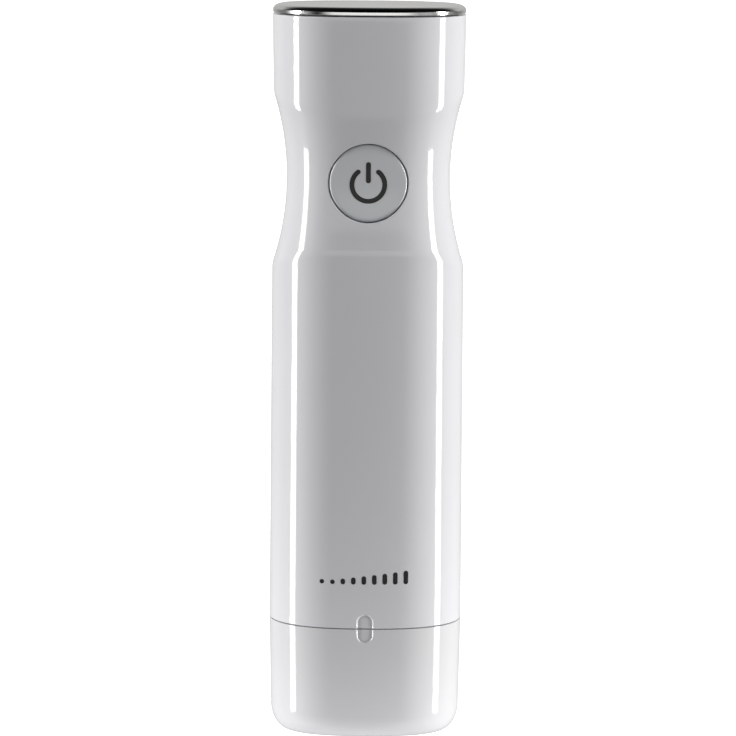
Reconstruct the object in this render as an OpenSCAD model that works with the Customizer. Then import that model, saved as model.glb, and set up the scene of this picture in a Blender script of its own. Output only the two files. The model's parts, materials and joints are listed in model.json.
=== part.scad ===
// Cordless handheld vacuum pump for food containers and bags.
// It stands on its detachable suction head. +Z is up, -Y is the button side, and the
// origin is the centre of the face it stands on.

/* [Body] */
// Overall height, from the suction head's foot to the metal cap
overall_h = 204; // [203:0.5:210]
// Width across the body, at its foot
body_w = 53.8; // [53.4:0.1:56]
// Depth from the button side to the back
body_d = 43.8; // [43.4:0.1:46]
// Squareness of the oval section: 2 is an ellipse
section_power = 2.4; // [2.3:0.1:2.8]
// Wall thickness of the housing and of the suction head
wall = 2; // [1.6:0.1:2.1]
// How far each side draws in from the seam up to the waist
sleeve_draft = 0.32; // [0:0.01:0.35]
// How much narrower than its foot the sleeve is at the cap, on each side
top_inset = 0.14; // [0:0.01:0.3]
// How far each side draws in from the cap down to the waist
head_taper = 0.79; // [0:0.01:0.8]
// Height of the metal cap
cap_h = 2.4; // [2:0.1:3]

/* [Waist] */
// Height of the narrowest section
waist_z = 156; // [154:0.5:158]
// How far the waist pulls in at each side
waist_side = 3.9; // [3:0.1:4]
// How far the waist pulls in at the front and at the back
waist_front = 2.35; // [2:0.05:2.6]
// Radius of the waist's curve, seen from the front
waist_r = 76.1; // [70:0.1:85]
// Squareness of the waist's section, next to the body's own
waist_power = 2.5; // [2.4:0.05:2.6]
// Softness of the corner between the waist and the straight body
waist_blend = 0.4; // [0.2:0.1:1.5]

/* [Suction head] */
// Height of the detachable suction head
head_h = 32.3; // [32:0.1:32.8]
// Bore of the silicone mouth
mouth_d = 18; // [16:0.5:19]
// Height of the rounded foot
foot_h = 7.6; // [5:0.1:8]
// Width of the rounded foot at the sides
foot_side = 5.1; // [4.5:0.1:10]
// Width of the rounded foot at the front and back
foot_front = 9.2; // [7:0.1:10.5]
// Width of the alignment dimple that crosses the seam
dimple_w = 4.8; // [4:0.1:6]
// Height of the alignment dimple
dimple_h = 8.4; // [7:0.1:10]

/* [Button] */
// Diameter of the button
button_d = 21.2; // [19:0.1:21.3]
// Height of the button's centre
button_z = 155.8; // [154:0.1:158]
// Gap round the button
button_gap = 0.3; // [0.2:0.05:0.35]
// Travel of the button
button_travel = 0.8; // [0.5:0.1:0.9]

/* [Drive] */
// Diameter of the motor's can
motor_d = 24.4; // [24:0.1:24.6]
// Diameter of the motor's shaft
shaft_d = 2; // [1.8:0.1:2]
// Tilt of the pin that rocks the wobble plate, in degrees
wobble_tilt = 6; // [4:0.5:6]
// Diameter of the rechargeable cell
cell_d = 18.4; // [18:0.1:18.5]
// Length of the rechargeable cell
cell_len = 65; // [60:0.5:65]

/* [Hidden] */

// Running and assembly clearances
fit = 0.05;        // radial, round a shaft or a screw
slip = 0.1;        // between parts that are slid together
seam = 0.3;        // seam between the suction head and the sleeve
cap_gap = 0.4;     // shadow gap under the metal cap
screw_r = 1;
$fn = 48;

half_w = body_w / 2;
half_d = body_d / 2;
oval_sides = 56;

// Levels, from the foot up
head_top = head_h - seam / 2;
sleeve_z = head_h + seam / 2;
sleeve_top = overall_h - cap_h - cap_gap;
cap_z = sleeve_top + cap_gap;
skirt_z = head_h - 7.5;             // lower edge of the base plate's skirt
deck_z = sleeve_z + 3;              // top of the base plate
frame_z = deck_z + 2;               // top of the chassis's foot
pump_z = frame_z + 7.5;             // underside of the pump head
valve_z = pump_z + 6;
flange_z = valve_z + 3;
cylinder_z = flange_z + 1;
case_z = cylinder_z + 3;
case_h = 15;
motor_z = case_z + case_h;
can_h = 26;
bell_z = motor_z + can_h;
bell_h = 5;
pivot_z = case_z + 2.5;             // where the motor's axis meets the tilted pin
shelf_z = bell_z + bell_h + 3.5;
cell_z = shelf_z + 2.2;
usb_board_z = 184;
usb_z = usb_board_z + 1.2 + 1.65;

// Pump layout
pump_r = 13.5;
chamber_r = 7.4;                    // circle of the three chambers
clamp_r = 11.9;                     // circle of the three pump screws
port_r = 9.4;                       // circle of the inlet ports, and place of the inlet
cup_r = 4.2;
case_wall = 1.5;
sleeve_r = 15.15;                   // outside of the rubber motor sleeve

// Boards, cell and button, front to back
cell_y = 1.5;
board_t = 1.6;
board_face = -10.2;
board_w = 24;
board_z = [shelf_z - 3, 178];
face_y = -(half_d - sleeve_draft - waist_front);   // the sleeve's surface at the button's centre
button_back = face_y + 3;
plunger_y = face_y + 5;
guide_y = [-15, -11.4];
rail_x = [11, 13.2];
rail_y = [11.4, 13.8];
cradle_z = [shelf_z, 167];
cradle_h = 5;
arm_x = cell_d / 2 + 0.15;

// Smooth minimum: like min(), with the corner softened over a difference of k
function soft_min(u, v, k) =
    let (h = max(0, k - abs(u - v)) / k) min(u, v) - h * h * k / 4;

// How far a circular arc of radius r has risen at distance d from its lowest point
function arc_rise(d, r) = r - sqrt(r * r - pow(min(abs(d), r), 2));

// Half width or half depth at height z of the straight body, and of the waist's curved surface
function straight(z, half) =
    z < waist_z ? half - sleeve_draft * (z - sleeve_z) / (waist_z - sleeve_z)
        : half - top_inset - head_taper * (sleeve_top - z) / (sleeve_top - waist_z);
function waisted(z, half, pull) = half - sleeve_draft - pull + arc_rise(z - waist_z, waist_r);

// Ring of the sleeve at height z: the straight body's half width and half depth, then the waist's
function ring_at(z, inset) = [
    z, straight(z, half_w) - inset, straight(z, half_d) - inset,
    waisted(z, half_w, waist_side) - inset, waisted(z, half_d, waist_front) - inset
];

// Points of the oval section with half width a and half depth b
function oval(a, b) = [
    for (i = [0 : oval_sides - 1])
        let (t = 360 * i / oval_sides, p = 2 / section_power)
            [a * sign(cos(t)) * pow(abs(cos(t)), p), b * sign(sin(t)) * pow(abs(sin(t)), p)]
];

// Points of a ring. With a waist, they lie on whichever surface is further in.
function ring_points(r) =
    len(r) < 5 ? oval(r[1], r[2])
        : [
            for (p = oval(r[1], r[2]))
                let (n = waist_power, reach = pow(abs(p[0] / r[3]), n) + pow(abs(p[1] / r[4]), n))
                    p * soft_min(1, pow(reach, -1 / n), waist_blend / half_w)
        ];

// Skin through rings [z, half width, half depth, and the same two of the waist]. A looped skin
// joins its last ring to its first and makes a tube; otherwise both ends are closed.
module skin(rings, looped = false) {
    n = oval_sides;
    m = len(rings);
    points = [for (r = rings) for (p = ring_points(r)) [p[0], p[1], r[0]]];
    sides = [
        for (k = [0 : looped ? m - 1 : m - 2]) for (i = [0 : n - 1])
            let (u = k * n, v = ((k + 1) % m) * n, j = (i + 1) % n)
                each [[u + i, v + i, u + j], [u + j, v + i, v + j]]
    ];
    ends = looped ? [] : [[for (i = [0 : n - 1]) i], [for (i = [n - 1 : -1 : 0]) (m - 1) * n + i]];
    polyhedron(points = points, faces = concat(sides, ends), convexity = 8);
}

// Straight oval plate or plug from z0 to z1
module oval_plate(a, b, z0, z1) {
    translate([0, 0, z0]) linear_extrude(z1 - z0) polygon(oval(a, b));
}

module tube(r_out, r_in, z0, z1) {
    translate([0, 0, z0]) difference() {
        cylinder(r = r_out, h = z1 - z0);
        translate([0, 0, -1]) cylinder(r = r_in, h = z1 - z0 + 2);
    }
}

// Cylinder along +Y, from y0 to y1
module rod_y(r, y0, y1) {
    translate([0, y0, 0]) rotate([-90, 0, 0]) cylinder(r = r, h = y1 - y0);
}

// Box between two corners
module block(low, high) {
    translate(low) cube(high - low);
}

// Flat oblong with round ends, w across and h along, for slots and sockets
module oblong(w, h) {
    if (w > h) rotate(90) oblong(h, w);
    else {
        square([w, h - w], center = true);
        for (s = [-1, 1]) translate([0, s * (h - w) / 2]) circle(d = w);
    }
}

// Oblong extruded along +Y, from y0 to y1, with its height along Z
module oblong_y(w, h, y0, y1) {
    translate([0, y1, 0]) rotate([90, 0, 0]) linear_extrude(y1 - y0) oblong(w, h);
}

// Screw with its head on top and its tip pointing down; z = 0 is under the head
module screw(r, length, head_r, head_h) {
    translate([0, 0, -length]) cylinder(r = r, h = length + 0.1);
    difference() {
        cylinder(r = head_r, h = head_h);
        for (a = [0, 90]) rotate(a) translate([-head_r * 0.6, -0.25, head_h - 0.6])
            cube([head_r * 1.2, 0.5, 1]);
    }
}

// Round wire through a list of points, slightly fuller at its bends
module wire(path, r) {
    for (i = [0 : len(path) - 2]) {
        run = path[i + 1] - path[i];
        translate(path[i]) rotate([0, acos(run[2] / norm(run)), atan2(run[1], run[0])])
            cylinder(r = r, h = norm(run), $fn = 16);
    }
    for (i = [1 : len(path) - 2]) translate(path[i]) sphere(r = r * 1.1, $fn = 16);
}

module around(count, r, start = 0) {
    for (i = [0 : count - 1]) rotate(start + 360 * i / count) translate([r, 0, 0]) children();
}

module base_screw_places() {
    for (x = [-16, 16]) for (y = [-8.5, 8.5]) translate([x, y, 0]) children();
}

module carrier_screw_places() {
    for (x = [-14, 14]) translate([x, 4, 0]) children();
}

module board_screw_places() {
    for (x = [-1, 1]) for (z = cradle_z)
        translate([x * (arm_x + 1), 0, z + cradle_h / 2]) children();
}

// ---------- Suction head ----------

// Half sizes of the suction head's outside at height z: a slight draft, then the foot
head_draft = 0.47;
function head_ring(z) =
    let (k = (head_top - z) / (head_top - foot_h)) [z, half_w - head_draft * k, half_d - head_draft * k];
function foot_ring(t) = [
    foot_h * (1 - sin(t)),
    half_w - head_draft - foot_side * (1 - cos(t)),
    half_d - head_draft - foot_front * (1 - cos(t))
];
function inset(ring, d) = [ring[0], ring[1] - d, ring[2] - d];

module alignment_dimple() {
    translate([0, 0, head_h]) oblong_y(dimple_w, dimple_h, -half_d - 1, -half_d + 0.35);
}

module head_shell() {
    boss_r = mouth_d / 2 + 5;
    floor_t = 2.4;
    color("whitesmoke") difference() {
        union() {
            skin([
                for (t = [90 : -15 : 0]) foot_ring(t),
                head_ring(16),
                inset(head_ring(head_top - 0.15), 0),
                inset(head_ring(head_top), 0.15),
                inset(head_ring(head_top), wall),
                inset(head_ring(16), wall),
                inset(head_ring(foot_h + 1.5), wall),
                inset([floor_t + 1.6, half_w - head_draft - 2.4, half_d - head_draft - 2.8], wall),
                inset([floor_t, half_w - head_draft - 6, half_d - head_draft - 6.5], wall),
            ]);
            tube(boss_r, boss_r - 2, floor_t - 0.5, 9);
        }
        translate([0, 0, -1]) cylinder(r = mouth_d / 2 + 2, h = floor_t + 2);
        alignment_dimple();
    }
}

module mouth_seal() {
    r = mouth_d / 2;
    color("gainsboro") rotate_extrude() polygon([
        [r, 0.4], [r + 1.4, 0.2], [r + 1.9, 0.8], [r + 1.9, 2.5], [r + 2.9, 2.5], [r + 2.9, 8],
        [r + 2, 8], [r + 0.8, 7.2], [r, 7.2]
    ]);
}

module splash_riser() {
    r = mouth_d / 2;
    hood_z = skirt_z - 3.5;
    color("white") difference() {
        union() {
            tube(r + 4.8, 4, 9, 10.5);
            tube(5.2, 4, 10, hood_z);
            translate([0, 0, hood_z]) cylinder(r = 8, h = 1.4);
        }
        for (a = [0, 90]) rotate(a) block([-10, -2, hood_z - 4], [10, 2, hood_z]);
        translate([0, 0, 8]) cylinder(r = 4, h = hood_z - 8);
    }
}

// ---------- Housing ----------

module main_housing() {
    sides = [for (z = [waist_z - 30 : 3 : waist_z + 30]) z];
    inner = [for (z = [waist_z + 28 : -7 : waist_z - 28]) z];
    color("whitesmoke") difference() {
        skin(concat(
            [ring_at(sleeve_z + 0.15, 0)],
            [for (z = sides) ring_at(z, 0)],
            [ring_at(sleeve_top - 0.3, 0), ring_at(sleeve_top, 0.3), ring_at(sleeve_top, wall)],
            [for (z = inner) ring_at(z, wall)],
            [ring_at(sleeve_z, wall), ring_at(sleeve_z, 0.15)]
        ), looped = true);
        translate([0, 0, button_z]) rod_y(button_d / 2 + button_gap, -half_d - 5, -8);
        translate([0, 0, usb_z]) oblong_y(9.6, 3.9, 10, half_d + 5);
        translate([8, 0, usb_z]) rod_y(0.9 + fit, 10, half_d + 5);
        for (x = [-8 : 4 : 8]) translate([x, 0, 60]) rod_y(0.8, 10, half_d + 5);
        alignment_dimple();
    }
}

module base_plate() {
    a = half_w - wall - slip;
    b = half_d - wall - slip;
    color("lightgray") difference() {
        union() {
            oval_plate(a, b, sleeve_z, deck_z);
            oval_plate(a - 1.2, b - 1.2, skirt_z, sleeve_z);
            translate([port_r, 0, deck_z - 0.5]) cylinder(r = 2, h = 4.5);
        }
        difference() {
            oval_plate(a - 3.4, b - 3.4, skirt_z - 1, sleeve_z - 2);
            translate([port_r, 0, skirt_z - 2]) cylinder(r = 3, h = 20);
        }
        difference() {
            oval_plate(a, b, skirt_z + 2.2, skirt_z + 4.2);
            oval_plate(a - 2, b - 2, skirt_z, skirt_z + 6);
        }
        translate([port_r, 0, skirt_z - 1]) cylinder(r = 1.1, h = 20);
        base_screw_places() translate([0, 0, skirt_z]) cylinder(r = screw_r + fit, h = 20);
    }
}

module spigot_seal() {
    a = half_w - wall - slip;
    b = half_d - wall - slip;
    color("silver") difference() {
        oval_plate(a - 0.25, b - 0.25, skirt_z + 2.3, skirt_z + 4.1);
        oval_plate(a - 1.95, b - 1.95, skirt_z, skirt_z + 6);
    }
}

module base_screws() {
    color("silver") base_screw_places()
        translate([0, 0, sleeve_z - 2]) mirror([0, 0, 1]) screw(screw_r, 12, 2, 1.5);
}

// Frame that carries the pump, the cell and both boards: a foot, two rails and a bridge
module chassis() {
    rail_top = 199;
    color("dimgray") difference() {
        union() {
            oval_plate(half_w - wall - 2.5, half_d - wall - 2.5, deck_z, frame_z);
            base_screw_places() translate([0, 0, frame_z - 0.5]) cylinder(r = 2.8, h = 5);
            for (s = [0, 1]) mirror([s, 0, 0])
                block([rail_x[0], rail_y[0], deck_z], [rail_x[1], rail_y[1], rail_top]);
            for (z = [motor_z + 3, motor_z + 20]) tube(sleeve_r + 2, sleeve_r + fit, z, z + 5);
            for (z = cradle_z) cell_cradle(z);
            block([-rail_x[1], -6, shelf_z], [rail_x[1], rail_y[1], cell_z - 0.2]);
            block([-rail_x[1], 8, usb_board_z - 3], [rail_x[1], rail_y[1], usb_board_z]);
            block([-15.5, -2, rail_top - 2.5], [15.5, rail_y[1], rail_top]);
            carrier_screw_places() translate([0, 0, rail_top - 7]) cylinder(r = 2.8, h = 7);
        }
        translate([0, 0, deck_z - 1]) cylinder(r = 13, h = 4);
        base_screw_places() translate([0, 0, deck_z - 1]) cylinder(r = screw_r + 0.02, h = 12);
        carrier_screw_places() translate([0, 0, rail_top - 9]) cylinder(r = screw_r + 0.02, h = 12);
        board_screw_places() rod_y(0.82, board_face, board_face + 10);
        block([-8, -3, rail_top - 8], [8, 10, rail_top + 1]);
        block([-10, -12, shelf_z - 1], [0, -1.2, cell_z]);
        for (x = [-4, 4]) translate([x, 11, shelf_z - 1]) cylinder(r = 1.4, h = 6);
    }
}

// Cradle behind the cell, with two arms that reach forward to the control board
module cell_cradle(z) {
    r = arm_x;
    translate([0, cell_y, z]) difference() {
        cylinder(r = r + 2, h = cradle_h);
        translate([0, 0, -1]) cylinder(r = r, h = cradle_h + 2);
        translate([-20, -40, -1]) cube([40, 40, cradle_h + 2]);
    }
    for (s = [0, 1]) mirror([s, 0, 0]) {
        block([r, board_face + board_t, z], [r + 2, cell_y, z + cradle_h]);
        block([6.5, 10.5, z], [rail_x[1], rail_y[1], z + cradle_h]);
    }
}

// ---------- Pump ----------

module inlet_hose() {
    color("slategray") translate([port_r, 0, 0]) tube(3.2, 2 + fit, deck_z + 0.6, pump_z - 0.6);
}

module pump_head() {
    color("ivory") difference() {
        union() {
            translate([0, 0, pump_z]) cylinder(r = pump_r, h = valve_z - pump_z);
            for (x = [port_r, -4]) translate([x, 0, pump_z - 3.5]) cylinder(r = 2, h = 4.5);
        }
        translate([0, 0, pump_z + 2]) cylinder(r = 7.2, h = 9);
        tube(10.6, 8.4, pump_z + 2, valve_z + 3);
        for (x = [port_r, -4]) translate([x, 0, pump_z - 5]) cylinder(r = 1.1, h = 9);
        around(3, clamp_r, 60) translate([0, 0, pump_z - 2]) cylinder(r = 0.85 + fit, h = 20);
    }
}

module outlet_valve() {
    color("darkslategray") {
        translate([0, 0, valve_z - 0.7]) cylinder(r = 6.6, h = 0.6);
        translate([0, 0, valve_z - 1.6]) cylinder(r = 1.4, h = 1);
        translate([0, 0, valve_z - 0.5]) cylinder(r = 0.8, h = 4);
    }
}

module valve_plate() {
    color("ivory") difference() {
        translate([0, 0, valve_z]) cylinder(r = pump_r, h = 3);
        translate([0, 0, valve_z - 1]) {
            cylinder(r = 0.8 + fit, h = 6);
            around(3, 5.2) cylinder(r = 0.7, h = 6);
            around(3, port_r) cylinder(r = 0.7, h = 6);
            around(3, clamp_r, 60) cylinder(r = 0.85 + fit, h = 6);
        }
    }
}

module inlet_flaps() {
    color("darkslategray") around(3, port_r - 0.3) translate([0, 0, flange_z]) cylinder(r = 1.3, h = 0.4);
}

// How far the tilted plate lifts or lowers a chamber at angle a
function rock(a) = -chamber_r * tan(wobble_tilt) * cos(a);

// One rubber sheet with three bells. Each bell's stem goes through an arm of the wobble
// plate and ends in a bulb above it.
module diaphragm() {
    color("darkslategray") difference() {
        union() {
            translate([0, 0, flange_z]) cylinder(r = pump_r - 0.2, h = 1);
            for (a = [0, 120, 240]) rotate(a) translate([chamber_r, 0, 0]) bell(rock(a));
        }
        translate([0, 0, flange_z - 1]) {
            around(3, chamber_r) cylinder(r = 3.4, h = 3);
            around(3, clamp_r, 60) cylinder(r = 0.85 + fit, h = 3);
            cylinder(r = 1, h = 3);
        }
    }
}

module bell(lift) {
    top = pivot_z - 1.5 + lift;
    plate_top = pivot_z + 0.7 + lift;
    tube(cup_r, 3.4, flange_z + 0.5, top - 0.7);
    translate([0, 0, top - 0.8]) cylinder(r = cup_r, h = 0.8);
    translate([0, 0, top - 0.1]) cylinder(r = 1.2, h = plate_top - top + 0.8);
    translate([0, 0, plate_top + 1.3]) sphere(r = 1.9);
}

module cylinder_plate() {
    color("ivory") difference() {
        translate([0, 0, cylinder_z]) cylinder(r = pump_r, h = 3);
        translate([0, 0, cylinder_z - 1]) {
            around(3, chamber_r) cylinder(r = cup_r + 0.3, h = 6);
            around(3, clamp_r, 60) cylinder(r = 0.85 + fit, h = 6);
        }
    }
}

module pump_base() {
    color("ivory") difference() {
        union() {
            difference() {
                translate([0, 0, case_z]) cylinder(r = pump_r, h = case_h);
                translate([0, 0, case_z - 1]) cylinder(r = pump_r - case_wall, h = case_h - 1);
            }
            around(3, clamp_r, 60) translate([0, 0, case_z]) cylinder(r = 1.45, h = 5);
        }
        translate([0, 0, motor_z - 5]) cylinder(r = 3 + fit, h = 9);
        around(2, 8) translate([0, 0, motor_z - 5]) cylinder(r = screw_r + fit, h = 9);
        around(3, clamp_r, 60) translate([0, 0, case_z - 1]) cylinder(r = 0.85 + 0.02, h = 5.5);
    }
}

module pump_screws() {
    color("silver") around(3, clamp_r, 60)
        translate([0, 0, pump_z]) mirror([0, 0, 1]) screw(0.85, case_z + 4 - pump_z, 1.6, 1.3);
}

module motor_screws() {
    color("silver") around(2, 8)
        translate([0, 0, motor_z - 2]) mirror([0, 0, 1]) screw(screw_r, 3.6, 1.9, 1.2);
}

// ---------- Motor ----------

module motor_can() {
    r = motor_d / 2;
    color("lightsteelblue") difference() {
        translate([0, 0, motor_z]) cylinder(r = r, h = can_h);
        translate([0, 0, motor_z + 1]) cylinder(r = r - 0.8, h = can_h);
        translate([0, 0, motor_z - 1]) cylinder(r = 3 + fit, h = 3);
        around(2, 8) translate([0, 0, motor_z - 1]) cylinder(r = screw_r + 0.02, h = 3);
    }
}

module motor_magnets() {
    r = motor_d / 2 - 0.8 - fit;
    color("dimgray") difference() {
        tube(r, r - 1.7, motor_z + 3.5, motor_z + can_h - 3);
        for (s = [0, 1]) mirror([0, s, 0]) block([-6, 3, motor_z], [6, 20, bell_z]);
    }
}

module motor_endbell() {
    r = motor_d / 2;
    color("black") difference() {
        union() {
            translate([0, 0, bell_z]) cylinder(r = r, h = 1);
            translate([0, 0, bell_z + 0.5]) cylinder(r = r - 1, h = bell_h - 0.5);
            translate([0, 0, bell_z + bell_h - 0.5]) cylinder(r = 4, h = 2);
        }
        translate([0, 0, bell_z - 1]) cylinder(r = r - 2.5, h = bell_h);
        translate([0, 0, bell_z]) cylinder(r = 2.5 + fit, h = 12);
        for (x = [-8, 8]) block([x - 1.5, -0.35, bell_z], [x + 1.5, 0.35, bell_z + 9]);
    }
}

module front_bush() {
    color("goldenrod") tube(3, shaft_d / 2 + 0.03, motor_z - 1.5, motor_z + 2.2);
}

module rear_bush() {
    color("goldenrod") tube(2.5, shaft_d / 2 + 0.03, bell_z + bell_h - 1.5, bell_z + bell_h + 1.4);
}

module motor_brushes() {
    color("dimgray") for (s = [0, 1]) mirror([s, 0, 0])
        block([3.3, -1, bell_z + 0.6], [6.2, 1, bell_z + 2.6]);
}

// Terminal blades, each with a spring arm that holds a brush
module motor_terminals() {
    color("darkgoldenrod") for (s = [0, 1]) mirror([s, 0, 0]) {
        block([6.2, -0.9, bell_z + 0.5], [6.6, 0.9, bell_z + 3.2]);
        block([6.2, -0.3, bell_z + 2.6], [9.4, 0.3, bell_z + 3.2]);
        block([6.8, -0.3, bell_z + 2.8], [9.2, 0.3, bell_z + bell_h + 3]);
    }
}

// Rubber sleeve between the motor and the chassis
module motor_sleeve() {
    color("darkslategray") tube(sleeve_r, motor_d / 2 + fit, motor_z + 2, motor_z + can_h);
}

module motor_shaft() {
    color("silver") translate([0, 0, pivot_z + 5.8])
        cylinder(r = shaft_d / 2, h = bell_z + bell_h + 2.2 - pivot_z - 5.8);
}

// Three-pole laminated core, flat: a hub, three necks and three curved shoes
module poles(r, neck) {
    circle(r = 3.2);
    for (a = [0, 120, 240]) rotate(a) translate([0, -neck / 2]) square([r - 0.8, neck]);
    difference() {
        circle(r = r);
        circle(r = r - 1.6);
        for (a = [60, 180, 300]) rotate(a) translate([r - 3, -0.9]) square([6, 1.8]);
    }
}

module armature_core() {
    r = motor_d / 2 - 3.1;
    color("gray") translate([0, 0, motor_z + 6]) linear_extrude(15) difference() {
        poles(r, 3);
        circle(r = shaft_d / 2 + 0.01);
    }
}

// One coil round the neck of each pole
module armature_windings() {
    color("chocolate") around(3, 0) for (s = [0, 1]) mirror([0, s, 0]) {
        block([3.6, 1.6, motor_z + 4.2], [6.8, 2.8, motor_z + 22.8]);
        for (z = [motor_z + 4.2, motor_z + 21.2]) block([3.6, 0, z], [6.8, 1.7, z + 1.6]);
    }
}

module commutator() {
    color("peru") difference() {
        tube(3.2, shaft_d / 2 + 0.01, motor_z + can_h - 2.6, bell_z + 3);
        for (a = [0, 60, 120]) rotate(a)
            block([-5, -0.15, motor_z + can_h - 1], [-2.6, 0.15, bell_z + 4]);
        for (a = [0, 60, 120]) rotate(a)
            block([2.6, -0.15, motor_z + can_h - 1], [5, 0.15, bell_z + 4]);
    }
}

// ---------- Wobble drive ----------

// Turns the Z axis at the pivot onto the tilted pin
module on_pin() {
    translate([0, 0, pivot_z]) rotate([0, wobble_tilt, 0]) children();
}

module drive_cam() {
    color("white") difference() {
        translate([0, 0, pivot_z + 3.2]) cylinder(r = 4.8, h = 6.3);
        translate([0, 0, pivot_z + 5.8]) cylinder(r = shaft_d / 2 + 0.01, h = 9);
        on_pin() cylinder(r = 1.02, h = 5.6);
        translate([-6, -6, pivot_z + 7]) cube([4, 12, 4]);
    }
}

module cam_pin() {
    color("silver") on_pin() translate([0, 0, -1]) cylinder(r = 1, h = 6.4);
}

module wobble_plate() {
    color("white") on_pin() difference() {
        union() {
            translate([0, 0, -1.2]) cylinder(r = 3.2, h = 3.7);
            around(3, chamber_r) translate([0, 0, -0.7]) cylinder(r = 2.9, h = 1.4);
            around(3, 0) block([0, -2.4, -0.7], [chamber_r, 2.4, 0.7]);
        }
        translate([0, 0, -3]) cylinder(r = 1.05, h = 8);
        around(3, chamber_r) translate([0, 0, -2]) cylinder(r = 1.6, h = 4);
    }
}

// ---------- Power and control ----------

module battery_cell() {
    color("steelblue") translate([0, cell_y, cell_z]) {
        cylinder(r = cell_d / 2, h = cell_len);
        translate([0, 0, cell_len - 0.1]) cylinder(r = 2.8, h = 0.9);
    }
}

// Nickel strips welded to the cell's two ends
module battery_tabs() {
    top = cell_z + cell_len + 0.8;
    color("silver") {
        block([-2.5, cell_y - 6, top], [2.5, cell_y + 3, top + 0.2]);
        block([-2.5, cell_y - 6, cell_z - 0.2], [2.5, cell_y + 6, cell_z]);
    }
}

// Foam strip between the cell and the control board
module battery_pad() {
    y = cell_y - cell_d / 2;
    color("gray") block([-4, board_face + board_t, cell_z + 12], [4, y - 0.02, cell_z + 42]);
}

module battery_leads() {
    top = cell_z + cell_len + 1;
    color("firebrick") {
        wire([[1.5, -3.5, top + 0.8], [9.5, -7.8, top + 0.8]], 0.65);
        wire([[-1.5, -2.5, cell_z - 0.9], [-8, -7.8, cell_z - 0.9]], 0.65);
    }
}

module motor_leads() {
    blade = bell_z + bell_h + 2.4;
    color("darkred") for (s = [-1, 1])
        wire([[s * 8, -1, blade], [s * 8, -7.8, blade]], 0.65);
}

module control_board() {
    color("seagreen") difference() {
        block([-board_w / 2, board_face, board_z[0]], [board_w / 2, board_face + board_t, board_z[1]]);
        board_screw_places() rod_y(0.85, board_face - 1, board_face + 5);
    }
}

// Controller, coil, capacitors and wire sockets on the front of the control board
module board_parts() {
    z = board_z[0];
    color("black") {
        for (p = [[-4, 18, 5, 5, 1], [5, 20, 3, 3, 0.9], [4, 30, 6, 6, 2.4], [-6, 33, 2, 1.2, 0.8],
                  [-2, 28, 1.2, 2, 0.8], [7, 12, 4, 3, 1.6], [-7, 12, 4, 3, 1.6]])
            block([p[0] - p[2] / 2, board_face - p[4], z + p[1] - p[3] / 2],
                  [p[0] + p[2] / 2, board_face, z + p[1] + p[3] / 2]);
    }
}

module board_screws() {
    color("silver") board_screw_places() translate([0, board_face, 0]) rotate([90, 0, 0])
        screw(0.8, 7, 1.6, 1.1);
}

module tact_switch() {
    color("dimgray") difference() {
        block([-3, plunger_y + 1, button_z - 3], [3, board_face, button_z + 3]);
        translate([0, 0, button_z]) rod_y(1.8, plunger_y, plunger_y + 1 + button_travel + 1.1);
    }
}

module charge_board() {
    color("seagreen") block([-10.5, 1, usb_board_z], [10.5, 18, usb_board_z + 1.2]);
}

usb_w = 8.94;
usb_h = 3.26;
usb_y = [13.9, half_d - 0.6];

module usb_shell() {
    color("silver") translate([0, 0, usb_z]) difference() {
        oblong_y(usb_w, usb_h, usb_y[0], usb_y[1]);
        oblong_y(usb_w - 0.6, usb_h - 0.6, usb_y[0] + 1, usb_y[1] + 1);
    }
}

module usb_tongue() {
    color("black") block([-3.3, usb_y[0] + 1, usb_z - 0.35], [3.3, usb_y[1] - 0.7, usb_z + 0.35]);
}

module charge_led() {
    color("gold") block([7.2, 16.4, usb_board_z + 1.2], [8.8, 17.6, usb_z + 0.7]);
}

module led_window() {
    color("white") translate([8, 0, usb_z]) rod_y(0.9, 17.7, half_d - 0.5);
}

// ---------- Button ----------

module button_guide() {
    r = button_d / 2 + button_gap;
    color("white") translate([0, 0, button_z]) difference() {
        rod_y(r + 1.5, guide_y[0], guide_y[1]);
        rod_y(r, guide_y[0] - 1, guide_y[1] + 1);
    }
}

// Silicone boot: a bead clamped under the guide, and a thin cone up to the button's back
module button_boot() {
    bead_r = button_d / 2 + button_gap + 1.5;
    tip = button_back;
    color("lightgray") translate([0, 0, button_z]) rotate([-90, 0, 0]) rotate_extrude() polygon([
        [9, guide_y[1]], [bead_r, guide_y[1]], [bead_r, board_face], [8.4, board_face],
        [8.4, guide_y[1]], [5.6, tip + 0.6], [4.2, tip + 0.6], [4.2, tip], [6, tip]
    ]);
}

module button_cap() {
    r = button_d / 2;
    face_r = 60;
    edge = 0.4;
    color("whitesmoke") translate([0, 0, button_z]) {
        intersection() {
            rotate([-90, 0, 0]) rotate_extrude() polygon([
                [0, face_y - 1], [r - edge, face_y - 1], [r - edge, face_y], [r, face_y + 1.4],
                [r, button_back], [0, button_back]
            ]);
            translate([0, face_y + face_r, -20]) cylinder(r = face_r, h = 40, $fn = 200);
        }
        rod_y(2, button_back - 0.1, plunger_y);
    }
}

module switch_plunger() {
    color("black") translate([0, 0, button_z]) rod_y(1.7, plunger_y, plunger_y + 2);
}

// ---------- Top ----------

module top_carrier() {
    a = half_w - wall - 0.35;
    b = half_d - wall - 0.35;
    color("darkgray") difference() {
        oval_plate(a, b, sleeve_top - 9, cap_z + 0.85);
        oval_plate(a - 1.8, b - 1.8, sleeve_top - 10, sleeve_top - 1.5);
        carrier_screw_places() {
            translate([0, 0, sleeve_top - 3]) cylinder(r = screw_r + fit, h = 9);
            translate([0, 0, cap_z - 0.9]) cylinder(r = 2.3, h = 9);
        }
    }
}

module carrier_screws() {
    color("silver") carrier_screw_places() translate([0, 0, cap_z - 0.9]) screw(screw_r, 9, 2, 1.3);
}

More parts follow.
